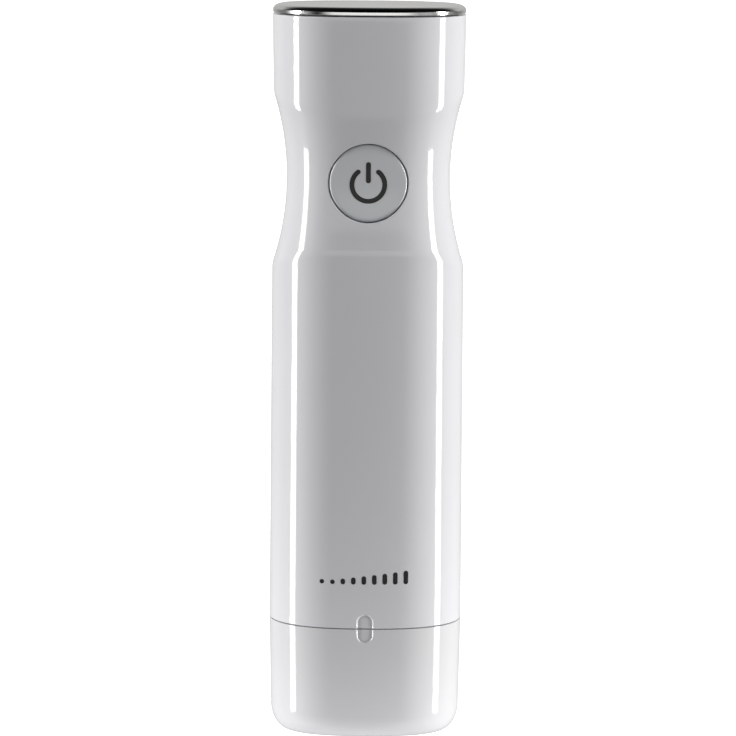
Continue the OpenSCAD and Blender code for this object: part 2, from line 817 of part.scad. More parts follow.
module cap_adhesive() {
    color("dimgray") oval_plate(half_w - wall - 1.2, half_d - wall - 1.2, cap_z + 0.85, cap_z + 1);
}

// Pressed steel cap with an upright rim and a rounded edge above it
module top_cap() {
    rim_h = 0.75;
    edge_w = 2.6;
    rise = overall_h - cap_z - rim_h;
    color("silver") difference() {
        skin([
            [cap_z, half_w - 0.5, half_d - 0.5],
            [cap_z + 0.2, half_w - 0.2, half_d - 0.2],
            for (t = [0 : 15 : 90]) [
                cap_z + rim_h + rise * sin(t),
                half_w - 0.2 - edge_w * (1 - cos(t)),
                half_d - 0.2 - edge_w * (1 - cos(t))
            ]
        ]);
        oval_plate(half_w - wall - 0.3, half_d - wall - 0.3, cap_z - 1, cap_z + 1);
    }
}

head_shell();
splash_riser();
mouth_seal();
main_housing();
base_plate();
spigot_seal();
base_screws();
chassis();
inlet_hose();
pump_head();
outlet_valve();
valve_plate();
inlet_flaps();
diaphragm();
cylinder_plate();
pump_base();
pump_screws();
motor_screws();
motor_can();
motor_magnets();
motor_endbell();
motor_brushes();
motor_terminals();
front_bush();
rear_bush();
motor_sleeve();
motor_shaft();
armature_core();
armature_windings();
commutator();
drive_cam();
cam_pin();
wobble_plate();
battery_cell();
battery_tabs();
battery_pad();
battery_leads();
motor_leads();
control_board();
board_parts();
board_screws();
tact_switch();
charge_board();
usb_shell();
usb_tongue();
charge_led();
led_window();
button_guide();
button_boot();
button_cap();
switch_plunger();
top_carrier();
carrier_screws();
cap_adhesive();
top_cap();
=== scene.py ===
"""Looks of a cordless handheld vacuum pump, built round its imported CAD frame.

Lengths are in metres in the CAD's frame: +Z is up and -Y is the button side. The faceted outer
shells are replaced by fine ones of the same formula; the pieces inside keep their CAD shapes.
"""
import json
import math

import bmesh
import bpy
import numpy as np
from mathutils import Matrix, Vector


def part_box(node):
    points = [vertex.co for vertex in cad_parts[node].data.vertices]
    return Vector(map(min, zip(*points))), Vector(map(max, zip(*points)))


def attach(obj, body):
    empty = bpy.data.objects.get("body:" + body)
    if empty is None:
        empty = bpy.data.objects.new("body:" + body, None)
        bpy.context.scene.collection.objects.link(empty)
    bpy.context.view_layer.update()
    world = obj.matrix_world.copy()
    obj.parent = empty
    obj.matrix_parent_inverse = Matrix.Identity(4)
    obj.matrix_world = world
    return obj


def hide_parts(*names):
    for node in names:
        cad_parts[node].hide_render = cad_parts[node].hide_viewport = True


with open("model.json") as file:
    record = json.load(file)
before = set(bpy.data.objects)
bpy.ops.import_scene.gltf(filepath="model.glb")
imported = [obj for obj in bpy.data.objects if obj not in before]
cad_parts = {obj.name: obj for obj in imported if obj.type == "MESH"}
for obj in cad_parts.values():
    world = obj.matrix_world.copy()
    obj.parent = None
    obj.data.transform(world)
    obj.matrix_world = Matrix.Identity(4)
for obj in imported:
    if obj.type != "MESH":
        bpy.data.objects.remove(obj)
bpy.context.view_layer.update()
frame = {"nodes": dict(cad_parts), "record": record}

MM = 0.001

# ---------- Driving dimensions ----------

HOUSING_LOW, HOUSING_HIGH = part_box("main_housing")
_, HEAD_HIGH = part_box("head_shell")
CAP_LOW, CAP_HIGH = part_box("top_cap")
BUTTON_LOW, BUTTON_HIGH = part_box("button_cap")
SOCKET_LOW, SOCKET_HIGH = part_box("usb_shell")
LIGHT_LOW, LIGHT_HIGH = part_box("led_window")

HALF_W, HALF_D = HOUSING_HIGH.x, HOUSING_HIGH.y
SLEEVE_Z, SLEEVE_TOP = HOUSING_LOW.z, HOUSING_HIGH.z
BUTTON_Z = (BUTTON_LOW.z + BUTTON_HIGH.z) / 2
BUTTON_R = (BUTTON_HIGH.z - BUTTON_LOW.z) / 2
SEAM_Z = (SLEEVE_Z + HEAD_HIGH.z) / 2

# The outside's formula, as in the CAD
POWER, WAIST_POWER = 2.4, 2.5
WALL = 2 * MM
SLEEVE_DRAFT = 0.32 * MM
TOP_INSET, HEAD_TAPER = 0.14 * MM, 0.79 * MM
WAIST_Z = 156 * MM
WAIST_SIDE, WAIST_FRONT = 3.9 * MM, 2.35 * MM
WAIST_R = 76.1 * MM
WAIST_BLEND = 0.4 * MM
FOOT_H, FOOT_SIDE, FOOT_FRONT = 7.6 * MM, 5.1 * MM, 9.2 * MM
HEAD_DRAFT = 0.47 * MM
DIMPLE_W, DIMPLE_H, DIMPLE_DEPTH = 4.8 * MM, 8.4 * MM, 0.32 * MM
DIMPLE_EDGE = 0.45 * MM
DIMPLE_MARGIN, DIMPLE_ROW = 0.6 * MM, 0.14 * MM  # fine mesh round the dimple, and its row spacing
BUTTON_GAP = 0.3 * MM
WINDOW_MARGIN = 0.6 * MM  # from a hole's reach to the edge of its window
VENT_Z, VENT_R, VENT_PITCH = 60 * MM, 0.8 * MM, 4 * MM


def soft_min(u, v, k):
    """The smaller of two values, blended where they are less than k apart."""
    h = np.maximum(0, k - np.abs(u - v)) / k
    return np.minimum(u, v) - h * h * k / 4


def straight(z, half):
    """Half width or half depth of the straight body at height z."""
    low = half - SLEEVE_DRAFT * (z - SLEEVE_Z) / (WAIST_Z - SLEEVE_Z)
    high = half - TOP_INSET - HEAD_TAPER * (SLEEVE_TOP - z) / (SLEEVE_TOP - WAIST_Z)
    return np.where(z < WAIST_Z, low, high)


def waisted(z, half, pull):
    """Half width or half depth of the waist's curved surface at height z."""
    away = np.minimum(np.abs(z - WAIST_Z), WAIST_R)
    return half - SLEEVE_DRAFT - pull + WAIST_R - np.sqrt(WAIST_R ** 2 - away ** 2)


def share_in(x, y, z, inset=0.0):
    """How far to draw a point of the straight body in, so it also lies inside the waist's surface."""
    a = waisted(z, HALF_W, WAIST_SIDE) - inset
    b = waisted(z, HALF_D, WAIST_FRONT) - inset
    reach = np.abs(x / a) ** WAIST_POWER + np.abs(y / b) ** WAIST_POWER
    return soft_min(1.0, reach ** (-1 / WAIST_POWER), WAIST_BLEND / HALF_W)


def other_side(share):
    """The second coordinate of the unit oval, from the first."""
    return np.maximum(0, 1 - np.abs(share) ** POWER) ** (1 / POWER)


def sleeve_ring(z, unit, inset=0.0):
    """Points of the sleeve's surface at height z, along the directions of the unit oval's points."""
    x = (straight(z, HALF_W) - inset) * unit[:, 0]
    y = (straight(z, HALF_D) - inset) * unit[:, 1]
    k = share_in(x, y, z, inset)
    return np.column_stack([x * k, y * k, np.full(len(unit), float(z))])


def sleeve_y(x, z, side, inset=0.0):
    """Depth of the sleeve's surface at x and z: side is -1 at the front and 1 at the back.

    How far the waist draws a point in depends on the point itself, so it is found step by step.
    """
    steps = 12
    a, b = straight(z, HALF_W) - inset, straight(z, HALF_D) - inset
    share = x / a
    for _ in range(steps):
        y = b * other_side(share)
        k = share_in(a * share, y, z, inset)
        share = np.clip(x / (a * k), -1, 1)
    return side * b * other_side(share) * k


def front_y(x, z):
    """Depth of the sleeve's front at x and z."""
    return sleeve_y(x, z, -1)


def head_half(z):
    """Half width and half depth of the suction head's outside above its foot."""
    k = HEAD_DRAFT * (HEAD_HIGH.z - z) / (HEAD_HIGH.z - FOOT_H)
    return HALF_W - k, HALF_D - k


def dimple_depth(x, z):
    """How deep the alignment dimple is at x and z on the front."""
    spine = (DIMPLE_H - DIMPLE_W) / 2
    off = np.hypot(x, np.maximum(0, np.abs(z - SEAM_Z) - spine))
    t = np.clip((DIMPLE_W / 2 - off) / DIMPLE_EDGE, 0, 1)
    return DIMPLE_DEPTH * t * t * (3 - 2 * t)


# ---------- Meshes ----------


def place_new(name, data):
    """A new object for the data, linked to the scene."""
    obj = bpy.data.objects.new(name, data)
    bpy.context.scene.collection.objects.link(obj)
    return obj


def make_object(name, points, faces, body, smooth_angle=38):
    """A smooth object from points and faces, with its normals outward, that moves with a body."""
    mesh = bpy.data.meshes.new(name)
    mesh.from_pydata([tuple(map(float, p)) for p in points], [], [tuple(f) for f in faces])
    work = bmesh.new()
    work.from_mesh(mesh)
    loose = [v for v in work.verts if not v.link_faces]
    bmesh.ops.delete(work, geom=loose, context="VERTS")
    bmesh.ops.recalc_face_normals(work, faces=work.faces)
    work.to_mesh(mesh)
    work.free()
    mesh.shade_smooth()
    mesh.set_sharp_from_angle(angle=math.radians(smooth_angle))
    obj = place_new(name, mesh)
    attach(obj, body)
    return obj


def spread(start, end, step):
    """Evenly spaced values from start to end, about a step apart, with both ends."""
    return np.linspace(start, end, max(2, int(round(abs(end - start) / step)) + 1))


def columns():
    """Points of the unit oval, anticlockwise from the front's left, finer at the front's middle."""
    edge, fine = 18 * MM, DIMPLE_W / 2 + DIMPLE_MARGIN
    front_step, fine_step, back_step, side_step = 0.7 * MM, 0.12 * MM, 0.5 * MM, 0.8 * MM
    front_x = np.concatenate([
        spread(-edge, -fine, front_step)[:-1],
        spread(-fine, fine, fine_step),
        spread(fine, edge, front_step)[1:],
    ]) / HALF_W
    back_x = spread(edge, -edge, back_step) / HALF_W
    corner = other_side(edge / HALF_W)
    side_y = spread(-corner, corner, side_step / HALF_D)[1:-1]
    front = [(x, -other_side(x)) for x in front_x]
    right = [(other_side(y), y) for y in side_y]
    back = [(x, other_side(x)) for x in back_x]
    left = [(-other_side(y), y) for y in side_y[::-1]]
    return np.array(front + right + back + left)


COLUMNS = columns()


class Loft:
    """Rows of points round the oval, joined into a closed skin, with shaped holes through it."""

    def __init__(self):
        self.points, self.faces, self.skipped = [], [], set()
        self.rows = []

    def add(self, points):
        """Adds points and returns their numbers."""
        start = len(self.points)
        self.points.extend(points)
        return list(range(start, len(self.points)))

    def add_row(self, points):
        self.rows.append(self.add(points))

    def window(self, first, last, low, high):
        """Leaves out the cells between two rows and two columns, and returns their outline."""
        self.skipped |= {(j, i) for j in range(first, last) for i in range(low, high)}
        rows = self.rows
        loop = [rows[first][i] for i in range(low, high)]
        loop += [rows[j][high] for j in range(first, last)]
        loop += [rows[last][i] for i in range(high, low, -1)]
        loop += [rows[j][low] for j in range(last, first, -1)]
        return loop

    def bridge(self, one, two):
        """Joins two closed loops of equally many points."""
        n = len(one)
        for k in range(n):
            self.faces.append((one[k], one[(k + 1) % n], two[(k + 1) % n], two[k]))

    def close(self):
        """Joins each row to the next, and the last to the first."""
        n, m = len(self.rows), len(self.rows[0])
        for j in range(n):
            for i in range(m):
                if (j, i) not in self.skipped:
                    here, there = self.rows[j], self.rows[(j + 1) % n]
                    k = (i + 1) % m
                    self.faces.append((here[i], here[k], there[k], there[i]))


def ring_xyz(a, b, z):
    """Points of an oval of half width a and half depth b at height z."""
    return np.column_stack([a * COLUMNS[:, 0], b * COLUMNS[:, 1], np.full(len(COLUMNS), z)])


def sink_dimple(points):
    """Moves the points of a row that lie in the alignment dimple inward."""
    front = COLUMNS[:, 1] < 0
    points[front, 1] += dimple_depth(points[front, 0], points[front, 2])
    return points


def quarter_turn(steps, start=0.0, end=90.0):
    """Angles in radians from start to end, both in degrees."""
    return np.radians(np.linspace(start, end, steps))


def circle_outline(radius):
    """Outline of a circle, by the angle of a ray from its middle."""
    return lambda angle: (radius * math.cos(angle), radius * math.sin(angle))


def oblong_outline(width, height):
    """Outline of a flat oblong with round ends, by the angle of a ray from its middle."""
    r, flat = height / 2, (width - height) / 2

    def at(angle):
        c, s = math.cos(angle), math.sin(angle)
        if abs(s) > 1e-9 and abs(c) * r / abs(s) <= flat:
            return c * r / abs(s), math.copysign(r, s)
        side = math.copysign(flat, c)
        t = side * c + math.sqrt(max(0, r * r - flat * flat * s * s))
        return t * c, t * s

    return at


def cut_window(loft, rows, centre, outline, grow, side, inset=0.0, fillet=0.0):
    """Fills a window with rings that lead to a hole's outline and round its edge. Returns the edge."""
    rings, ease = 5, 1.5
    x0, z0 = centre
    reach = grow + WINDOW_MARGIN
    heights = np.array([loft.points[r[0]][2] for r in loft.rows])
    first, last = rows
    inside = [j for j in range(first, last) if abs(heights[j] - z0) <= reach]
    on_side = 0.3  # least depth, as a share, of a column that belongs to this side
    near = [i for i in range(len(COLUMNS)) if COLUMNS[i, 1] * side > on_side
            and abs(loft.points[loft.rows[inside[0]][i]][0] - x0) <= reach]
    loop = loft.window(inside[0], inside[-1], near[0], near[-1])
    start = np.array([loft.points[k] for k in loop])
    angles = [math.atan2(p[2] - z0, p[0] - x0) for p in start]
    rim = np.array([outline(t) for t in angles])
    rim_size = np.linalg.norm(rim, axis=1)[:, None]

    def grown(extra):
        """The hole's outline, moved outward all round by an extra length."""
        return np.array([x0, z0]) + rim * (1 + extra / rim_size)

    def ring(flat, depth):
        y = sleeve_y(flat[:, 0], flat[:, 1], side, inset) - side * depth
        return loft.add(np.column_stack([flat[:, 0], y, flat[:, 1]]))

    flat_start = start[:, [0, 2]]
    edge = grown(fillet)
    for k in range(1, rings + 1):
        share = 1 - (1 - k / rings) ** ease
        new = ring(flat_start + (edge - flat_start) * share, 0)
        loft.bridge(loop, new)
        loop = new
    if fillet:
        for t in quarter_turn(4, 22.5):
            new = ring(grown(fillet * (1 - math.sin(t))), fillet * (1 - math.cos(t)))
            loft.bridge(loop, new)
            loop = new
    return loop


# ---------- Sleeve ----------

SOCKET_W, SOCKET_H = 9.6 * MM, 3.9 * MM
SOCKET_Z = (SOCKET_LOW.z + SOCKET_HIGH.z) / 2
LIGHT_X = (LIGHT_LOW.x + LIGHT_HIGH.x) / 2
LIGHT_R = (LIGHT_HIGH.x - LIGHT_LOW.x) / 2 + 0.05 * MM
HOLE_R = BUTTON_R + BUTTON_GAP
SLEEVE_LIP, SLEEVE_TOP_R = 0.06 * MM, 0.3 * MM


def holes():
    """Each hole through the sleeve: centre, outline, reach from the centre, side and edge radius."""
    found = [
        ((0, BUTTON_Z), circle_outline(HOLE_R), HOLE_R + 1.2 * MM, -1, 0.28 * MM),
        ((0, SOCKET_Z), oblong_outline(SOCKET_W, SOCKET_H), SOCKET_W / 2 + 0.5 * MM, 1, 0.3 * MM),
        ((LIGHT_X, SOCKET_Z), circle_outline(LIGHT_R), LIGHT_R + 0.35 * MM, 1, 0.12 * MM),
    ]
    vent = circle_outline(VENT_R)
    for k in range(-2, 3):
        found.append(((k * VENT_PITCH, VENT_Z), vent, VENT_R + 0.4 * MM, 1, 0.15 * MM))
    return found


def sleeve_heights():
    """Heights of the sleeve's rows, finer where its shape changes."""
    stops = [
        (SLEEVE_Z + SLEEVE_LIP, DIMPLE_ROW), (SEAM_Z + DIMPLE_H / 2 + DIMPLE_MARGIN, 3 * MM),
        (VENT_Z - 2 * MM, 0.5 * MM), (VENT_Z + 2 * MM, 4 * MM),
        (WAIST_Z - 27 * MM, 0.25 * MM), (WAIST_Z - 17 * MM, 1 * MM),
        (WAIST_Z + 17 * MM, 0.25 * MM), (WAIST_Z + 27 * MM, 0.5 * MM),
        (SOCKET_Z + 8 * MM, 1 * MM),
    ]
    last = SLEEVE_TOP - 0.35 * MM
    ends = [z for z, _ in stops[1:]] + [last]
    rows = [spread(start, end, step)[:-1] for (start, step), end in zip(stops, ends)]
    return np.concatenate(rows + [[last]])


def sleeve_row(z, inset, dimple=False):
    """Points round the sleeve at height z, drawn in by the inset."""
    points = sleeve_ring(z, COLUMNS, inset)
    return sink_dimple(points) if dimple else points


def build_sleeve():
    """The sleeve with its waist, its wall, the dimple's upper half and all its holes."""
    loft = Loft()
    lip, r = SLEEVE_LIP, SLEEVE_TOP_R
    corner = quarter_turn(4, 90, 22.5)
    for t in corner:
        loft.add_row(sleeve_row(SLEEVE_Z + lip * (1 - math.sin(t)), lip * (1 - math.cos(t)), True))
    heights = sleeve_heights()
    outer_first = len(loft.rows)
    for z in heights:
        loft.add_row(sleeve_row(z, 0, True))
    outer = (outer_first, len(loft.rows))
    for t in corner[::-1]:
        loft.add_row(sleeve_row(SLEEVE_TOP - r * (1 - math.sin(t)), r * (1 - math.cos(t))))
    loft.add_row(sleeve_row(SLEEVE_TOP, WALL))
    inner_heights = heights[heights > SEAM_Z + DIMPLE_H / 2][::-1]
    inner_first = len(loft.rows)
    for z in inner_heights:
        loft.add_row(sleeve_row(z, WALL))
    inner = (inner_first, len(loft.rows))
    loft.add_row(sleeve_row(SLEEVE_Z, WALL))
    for centre, outline, grow, side, fillet in holes():
        edges = [
            cut_window(loft, rows, centre, outline, grow, side, inset, fillet=f)
            for rows, inset, f in ((outer, 0, fillet), (inner, WALL, 0))
        ]
        join_edges(loft, edges, centre)
    loft.close()
    obj = make_object("sleeve", loft.points, loft.faces, "pump_body")
    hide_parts("main_housing")
    return obj


def join_edges(loft, edges, centre):
    """Joins a hole's outer edge to its inner one, which runs the other way round."""

    def by_angle(loop):
        angle = [math.atan2(loft.points[k][2] - centre[1], loft.points[k][0] - centre[0]) for k in loop]
        start = int(np.argmin(angle))
        loop = loop[start:] + loop[:start]
        turn = (angle[(start + 1) % len(loop)] - angle[start]) % (2 * math.pi)
        return loop if turn < math.pi else [loop[0]] + loop[:0:-1]

    loft.bridge(by_angle(edges[0]), by_angle(edges[1]))


# ---------- Suction head ----------

_, MOUTH_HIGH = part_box("mouth_seal")
MOUTH_R = MOUTH_HIGH.x - 2.9 * MM
OPENING_R = MOUTH_R + 2 * MM
BOSS_R = MOUTH_R + 5 * MM
FLOOR, BOSS_TOP = 2.4 * MM, 9 * MM
HEAD_LIP = 0.12 * MM


def build_head():
    """The suction head: its mouth, rounded foot, outside with the dimple's lower half, and inside."""
    loft = Loft()
    foot_a, foot_b = HALF_W - HEAD_DRAFT, HALF_D - HEAD_DRAFT
    angle = np.arctan2(foot_b * COLUMNS[:, 1], foot_a * COLUMNS[:, 0])

    def circle(r, z):
        loft.add_row(np.column_stack([r * np.cos(angle), r * np.sin(angle), np.full(len(angle), z)]))

    def oval(z, a, b, dimple=False):
        points = ring_xyz(a, b, z)
        loft.add_row(sink_dimple(points) if dimple else points)

    circle(OPENING_R, 0.3 * MM)
    circle(OPENING_R + 0.1 * MM, 0.1 * MM)
    circle(OPENING_R + 0.3 * MM, 0)
    for t in quarter_turn(25, 90, 0):
        left = 1 - math.cos(t)
        oval(FOOT_H * (1 - math.sin(t)), foot_a - FOOT_SIDE * left, foot_b - FOOT_FRONT * left)
    top, lip = HEAD_HIGH.z, HEAD_LIP
    dimple_low = SEAM_Z - DIMPLE_H / 2 - DIMPLE_MARGIN
    plain = spread(FOOT_H + 2 * MM, dimple_low, 2.5 * MM)
    fine = spread(dimple_low, top - lip, DIMPLE_ROW)[1:]
    for z in np.concatenate([plain, fine]):
        oval(z, *head_half(z), True)
    for t in quarter_turn(4, 22.5):
        inset = lip * (1 - math.cos(t))
        oval(top - lip * (1 - math.sin(t)), HALF_W - inset, HALF_D - inset, True)
    oval(top, HALF_W - WALL, HALF_D - WALL)
    for z in spread(top - 0.3 * MM, FOOT_H + 1.5 * MM, 5 * MM):
        a, b = head_half(z)
        oval(z, a - WALL, b - WALL)
    oval(FLOOR + 1.6 * MM, foot_a - 4.4 * MM, foot_b - 4.8 * MM)
    oval(FLOOR, foot_a - 8 * MM, foot_b - 8.5 * MM)
    circle(BOSS_R, FLOOR + 1.2 * MM)
    circle(BOSS_R, BOSS_TOP - 0.2 * MM)
    circle(BOSS_R - 0.2 * MM, BOSS_TOP)
    circle(BOSS_R - 1.95 * MM, BOSS_TOP)
    circle(BOSS_R - 1.95 * MM, FLOOR)
    circle(OPENING_R, FLOOR)
    loft.close()
    obj = make_object("suction_head_shell", loft.points, loft.faces, "suction_head")
    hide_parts("head_shell")
    return obj


def lathe(name, profile, body, segments=128):
    """Turns a closed profile of (radius, height) points about the upright axis."""
    points, faces = [], []
    n = len(profile)
    for i in range(segments):
        t = 2 * math.pi * i / segments
        points += [(r * math.cos(t), r * math.sin(t), h) for r, h in profile]
        j = (i + 1) % segments
        for k in range(n):
            m = (k + 1) % n
            faces.append((i * n + k, j * n + k, j * n + m, i * n + m))
    return make_object(name, points, faces, body)


def rounded(profile, radius, steps=4):
    """A closed profile with each corner rounded to at most the radius."""
    most = 0.45  # of each side's length
    out = []
    pts = [Vector(p) for p in profile]
    for k, p in enumerate(pts):
        back, ahead = pts[k - 1] - p, pts[(k + 1) % len(pts)] - p
        r = min(radius, most * back.length, most * ahead.length)
        a, b = p + back.normalized() * r, p + ahead.normalized() * r
        for s in np.linspace(0, 1, steps + 1):
            out.append(tuple((1 - s) ** 2 * a + 2 * s * (1 - s) * p + s * s * b))
    return out


def build_mouth_seal():
    """The soft ring round the suction mouth."""
    r = MOUTH_R
    profile = [
        (r, 0.4 * MM), (r + 1.4 * MM, 0.2 * MM), (r + 1.9 * MM, 0.8 * MM), (r + 1.9 * MM, 2.5 * MM),
        (r + 2.9 * MM, 2.5 * MM), (r + 2.9 * MM, 8 * MM), (r + 2 * MM, 8 * MM),
        (r + 0.8 * MM, 7.2 * MM), (r, 7.2 * MM),
    ]
    obj = lathe("mouth_ring", rounded(profile, 0.35 * MM), "suction_head")
    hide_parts("mouth_seal")
    return obj


# ---------- Cap ----------


def build_cap():
    """The steel cap: a short wall, a rounded shoulder and a slightly crowned top."""
    loft = Loft()
    low, high = CAP_LOW.z, CAP_HIGH.z
    a, b = CAP_HIGH.x, CAP_HIGH.y
    crown, wall, edge = 0.12 * MM, 0.75 * MM, 2.6 * MM
    rise = high - crown - low - wall
    inner = WALL + 0.3 * MM

    def oval(z, inset):
        loft.add_row(ring_xyz(a - inset, b - inset, z))

    for inset in (inner, 0.55 * MM, 0.3 * MM):
        oval(low, inset)
    oval(low + 0.05 * MM, 0.1 * MM)
    oval(low + 0.15 * MM, 0)
    for t in quarter_turn(25):
        oval(low + wall + rise * math.sin(t), edge * (1 - math.cos(t)))
    flat_a, flat_b = a - edge, b - edge
    for share in (0.9, 0.75, 0.55, 0.3, 0.05):
        z = high - crown * share * share
        loft.add_row(ring_xyz(flat_a * share, flat_b * share, z))
    for share in (0.05, 0.5, 1):
        loft.add_row(ring_xyz((a - inner) * share, (b - inner) * share, low + 1 * MM))
    loft.close()
    # Two flat faces in place of the tube that joins the top's middle to the underside's
    centre_top, centre_low = loft.rows[-4], loft.rows[-3]
    loft.faces = [f for f in loft.faces if not set(centre_top) & set(f) or not set(centre_low) & set(f)]
    loft.faces += [tuple(centre_top), tuple(centre_low[::-1])]
    obj = make_object("steel_cap", loft.points, loft.faces, "pump_body")
    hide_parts("top_cap")
    return obj


# ---------- Button ----------

FACE_Y = float(front_y(0.0, BUTTON_Z))
BUTTON_BACK = FACE_Y + 3 * MM
BUTTON_SUNK = 0.06 * MM
CROWN_R = 60 * MM
DISH = 0.3 * MM


def button_y(x, z):
    """Depth of the button's face: bent like the sleeve across, and slightly dished."""
    r2 = (x * x + (z - BUTTON_Z) ** 2) / BUTTON_R ** 2
    bend = CROWN_R - np.sqrt(CROWN_R ** 2 - x * x)
    return FACE_Y + BUTTON_SUNK + bend + DISH * np.maximum(0, 1 - r2)


def build_button():
    """The push button with its dished face, bevelled edge and short stem."""
    segments = 160
    angles = np.linspace(0, 2 * math.pi, segments, endpoint=False)
    cos, sin = np.cos(angles), np.sin(angles)
    bevel, stem_r = 0.45 * MM, 2 * MM
    stem_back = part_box("button_cap")[1].y
    rows = []

    def ring(r, drop):
        x, z = r * cos, BUTTON_Z + r * sin
        rows.append(np.column_stack([x, button_y(x, z) + drop, z]))

    for share in np.linspace(0.04, 1, 16):
        ring((BUTTON_R - bevel) * share, 0)
    for t in quarter_turn(4, 22.5):
        ring(BUTTON_R - bevel * (1 - math.sin(t)), bevel * (1 - math.cos(t)))
    for y, r in ((BUTTON_BACK - 0.2 * MM, BUTTON_R), (BUTTON_BACK, BUTTON_R - 0.2 * MM),
                 (BUTTON_BACK, stem_r), (stem_back, stem_r)):
        rows.append(np.column_stack([r * cos, np.full(segments, y), BUTTON_Z + r * sin]))
    points = np.concatenate(rows)
    last = len(points) - 1
    faces = [tuple(range(segments)), tuple(range(last, last - segments, -1))]
    for k in range(len(rows) - 1):
        here, there = k * segments, (k + 1) * segments
        for i in range(segments):
            j = (i + 1) % segments
            faces.append((here + i, here + j, there + j, there + i))
    obj = make_object("push_button", points, faces, "button")
    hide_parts("button_cap")
    return obj


# ---------- Printed marks ----------

INK_T = 0.03 * MM


def print_patch(name, outline_grid, depth, body):
    """A thin closed layer of ink over a grid of (x, z) points, on the surface that depth gives."""
    grid = np.array(outline_grid)
    n, m = grid.shape[:2]
    flat = grid.reshape(-1, 2)
    y = depth(flat[:, 0], flat[:, 1])
    top = np.column_stack([flat[:, 0], y - INK_T, flat[:, 1]])
    low = np.column_stack([flat[:, 0], y + INK_T, flat[:, 1]])
    points = np.concatenate([top, low])
    faces = []
    size = n * m
    for j in range(n - 1):
        for i in range(m - 1):
            q = (j * m + i, j * m + i + 1, (j + 1) * m + i + 1, (j + 1) * m + i)
            faces.append(q)
            faces.append(tuple(size + k for k in q[::-1]))
    rim = [(0, i) for i in range(m)] + [(j, m - 1) for j in range(1, n)]
    rim += [(n - 1, i) for i in range(m - 2, -1, -1)] + [(j, 0) for j in range(n - 2, 0, -1)]
    rim = [j * m + i for j, i in rim]
    for k in range(len(rim)):
        a, b = rim[k], rim[(k + 1) % len(rim)]
        faces.append((a, b, size + b, size + a))
    return make_object(name, points, faces, body, smooth_angle=60)


def stroke(path, width, ends=6):
    """A grid of points along a path, with round ends."""
    path = np.array(path)
    n = len(path)
    half = width / 2
    shares = (-1, -0.5, 0, 0.5, 1)
    way = np.gradient(path, axis=0)
    way /= np.linalg.norm(way, axis=1)[:, None]
    across = np.column_stack([-way[:, 1], way[:, 0]])
    grid = np.array([[path[k] + across[k] * half * s for s in shares] for k in range(n)])
    caps = []
    for k, sign in ((0, -1), (n - 1, 1)):
        cap = []
        for t in quarter_turn(ends, 15, 88):
            c = path[k] + way[k] * sign * half * math.sin(t)
            cap.append([c + across[k] * half * math.cos(t) * s for s in shares])
        caps.append(np.array(cap))
    return np.concatenate([caps[0][::-1], grid, caps[1]])


def build_button_mark():
    """The standard on/off sign: an open ring and a bar."""
    ring_r, width = 4.5 * MM, 1.3 * MM
    gap = 38  # degrees from the top to each end of the ring
    ring_z = BUTTON_Z - 0.4 * MM
    angles = np.radians(np.linspace(90 + gap, 450 - gap, 60))
    ring = [(ring_r * math.cos(t), ring_z + ring_r * math.sin(t)) for t in angles]
    bar = [(0, BUTTON_Z + z) for z in np.linspace(0.7 * MM, 5.2 * MM, 12)]
    return [print_patch(f"button_mark_{k}", stroke(p, width), button_y, "button")
            for k, p in enumerate((ring, bar))]


def build_level_marks():
    """A row of upright bars that grow to the right, low on the front."""
    count, span, tallest, shortest = 9, 24.5 * MM, 3.8 * MM, 0.9 * MM
    width = 1.25 * MM
    middle, base = -0.4 * MM, 44.85 * MM
    marks = []
    for k in range(count):
        x = middle + (k / (count - 1) - 0.5) * (span - width)
        height = shortest + (tallest - shortest) * k / (count - 1)
        low, high = base + width / 2, base + max(height, width * 1.02) - width / 2
        path = [(x, z) for z in np.linspace(low, high, 6)]
        marks.append(print_patch(f"level_mark_{k}", stroke(path, width), front_y, "pump_body"))
    return marks


# ---------- Materials ----------


def new_material(name, color, roughness, metallic=0.0, **sockets):
    """A principled material. Other sockets are set by name, with _ for a space."""
    material = bpy.data.materials.new(name)
    material.use_nodes = True
    shader = material.node_tree.nodes["Principled BSDF"]
    shader.inputs["Base Color"].default_value = (*color, 1)
    shader.inputs["Roughness"].default_value = roughness
    shader.inputs["Metallic"].default_value = metallic
    for key, value in sockets.items():
        shader.inputs[key.replace("_", " ")].default_value = value
    return material


def shader_input(material, name, output):
    """Links a node's output to an input of the material's principled shader."""
    shader = material.node_tree.nodes["Principled BSDF"]
    material.node_tree.links.new(output, shader.inputs[name])


def node(material, kind, **values):
    """A new node of the material. Each value is an input's if it has one of that name."""
    made = material.node_tree.nodes.new(kind)
    for key, value in values.items():
        if key in made.inputs:
            made.inputs[key].default_value = value
        else:
            setattr(made, key, value)
    return made


def grain(material, scale, stretch=(1, 1, 1), detail=4.0):
    """Noise in the piece's own coordinates, stretched along the axes."""
    tree = material.node_tree
    place = node(material, "ShaderNodeTexCoord")
    mapping = node(material, "ShaderNodeMapping")
    mapping.inputs["Scale"].default_value = stretch
    noise = node(material, "ShaderNodeTexNoise", Scale=scale, Detail=detail)
    tree.links.new(place.outputs["Object"], mapping.inputs["Vector"])
    tree.links.new(mapping.outputs["Vector"], noise.inputs["Vector"])
    return noise.outputs["Fac"]


def vary_color(material, source, dark, light):
    """Colours the material between two colours by the source."""
    ramp = node(material, "ShaderNodeValToRGB")
    ends = zip(ramp.color_ramp.elements, (0.35, 0.65), (dark, light))
    for end, position, color in ends:
        end.position, end.color = position, (*color, 1)
    material.node_tree.links.new(source, ramp.inputs["Fac"])
    shader_input(material, "Base Color", ramp.outputs["Color"])


